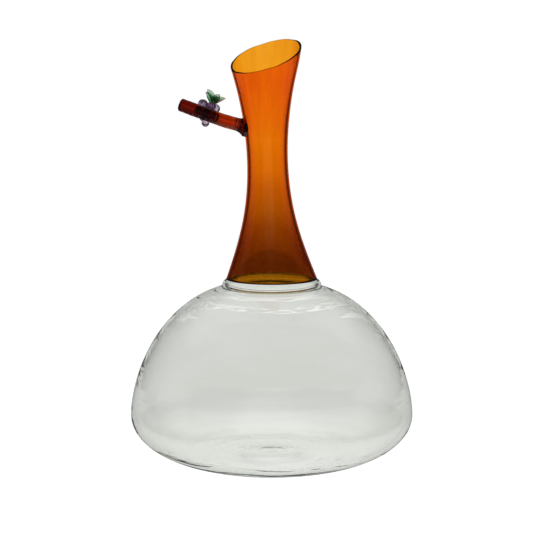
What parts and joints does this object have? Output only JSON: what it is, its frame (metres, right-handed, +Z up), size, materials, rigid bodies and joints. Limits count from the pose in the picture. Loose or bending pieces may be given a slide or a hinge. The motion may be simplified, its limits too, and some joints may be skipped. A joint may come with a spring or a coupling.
{
  "type": "decanter",
  "caption": "Squat clear glass decanter with a flared, leaning amber neck cut obliquely at the mouth, and a side branch with a glass grape bunch and leaves.",
  "frame": {"origin": "middle of the flat resting ring under the bowl, on the surface it stands on", "axes": "+Z up along the bowl's axis; +X points away from the side branch; the mouth is highest towards +X and +Y"},
  "size_m": [0.189, 0.189, 0.2817],
  "materials": {
    "clear_glass": "clear blown borosilicate glass, fire-polished",
    "amber_glass": "transparent amber glass, drawn, fire-polished",
    "dark_amber_glass": "solid amber glass rod, deep red-brown through its thickness",
    "amethyst_glass": "translucent amethyst glass beads",
    "green_glass": "streaked dark green and mint glass"
  },
  "bodies": {
    "root": {"bowl": "clear_glass", "weld_ring": "clear_glass", "neck": "amber_glass", "branch": "dark_amber_glass", "branch_foot": "dark_amber_glass", "calyx": "green_glass", "grape_01": "amethyst_glass", "grape_02": "amethyst_glass", "grape_03": "amethyst_glass", "grape_04": "amethyst_glass", "grape_05": "amethyst_glass", "grape_06": "amethyst_glass", "grape_07": "amethyst_glass", "grape_08": "amethyst_glass", "grape_09": "amethyst_glass", "grape_10": "amethyst_glass", "grape_11": "amethyst_glass", "grape_12": "amethyst_glass", "grape_13": "amethyst_glass", "grape_14": "amethyst_glass", "leaf_1": "green_glass", "leaf_2": "green_glass", "leaf_3": "green_glass", "leaf_4": "green_glass", "leaf_5": "green_glass"}
  },
  "joints": []
}
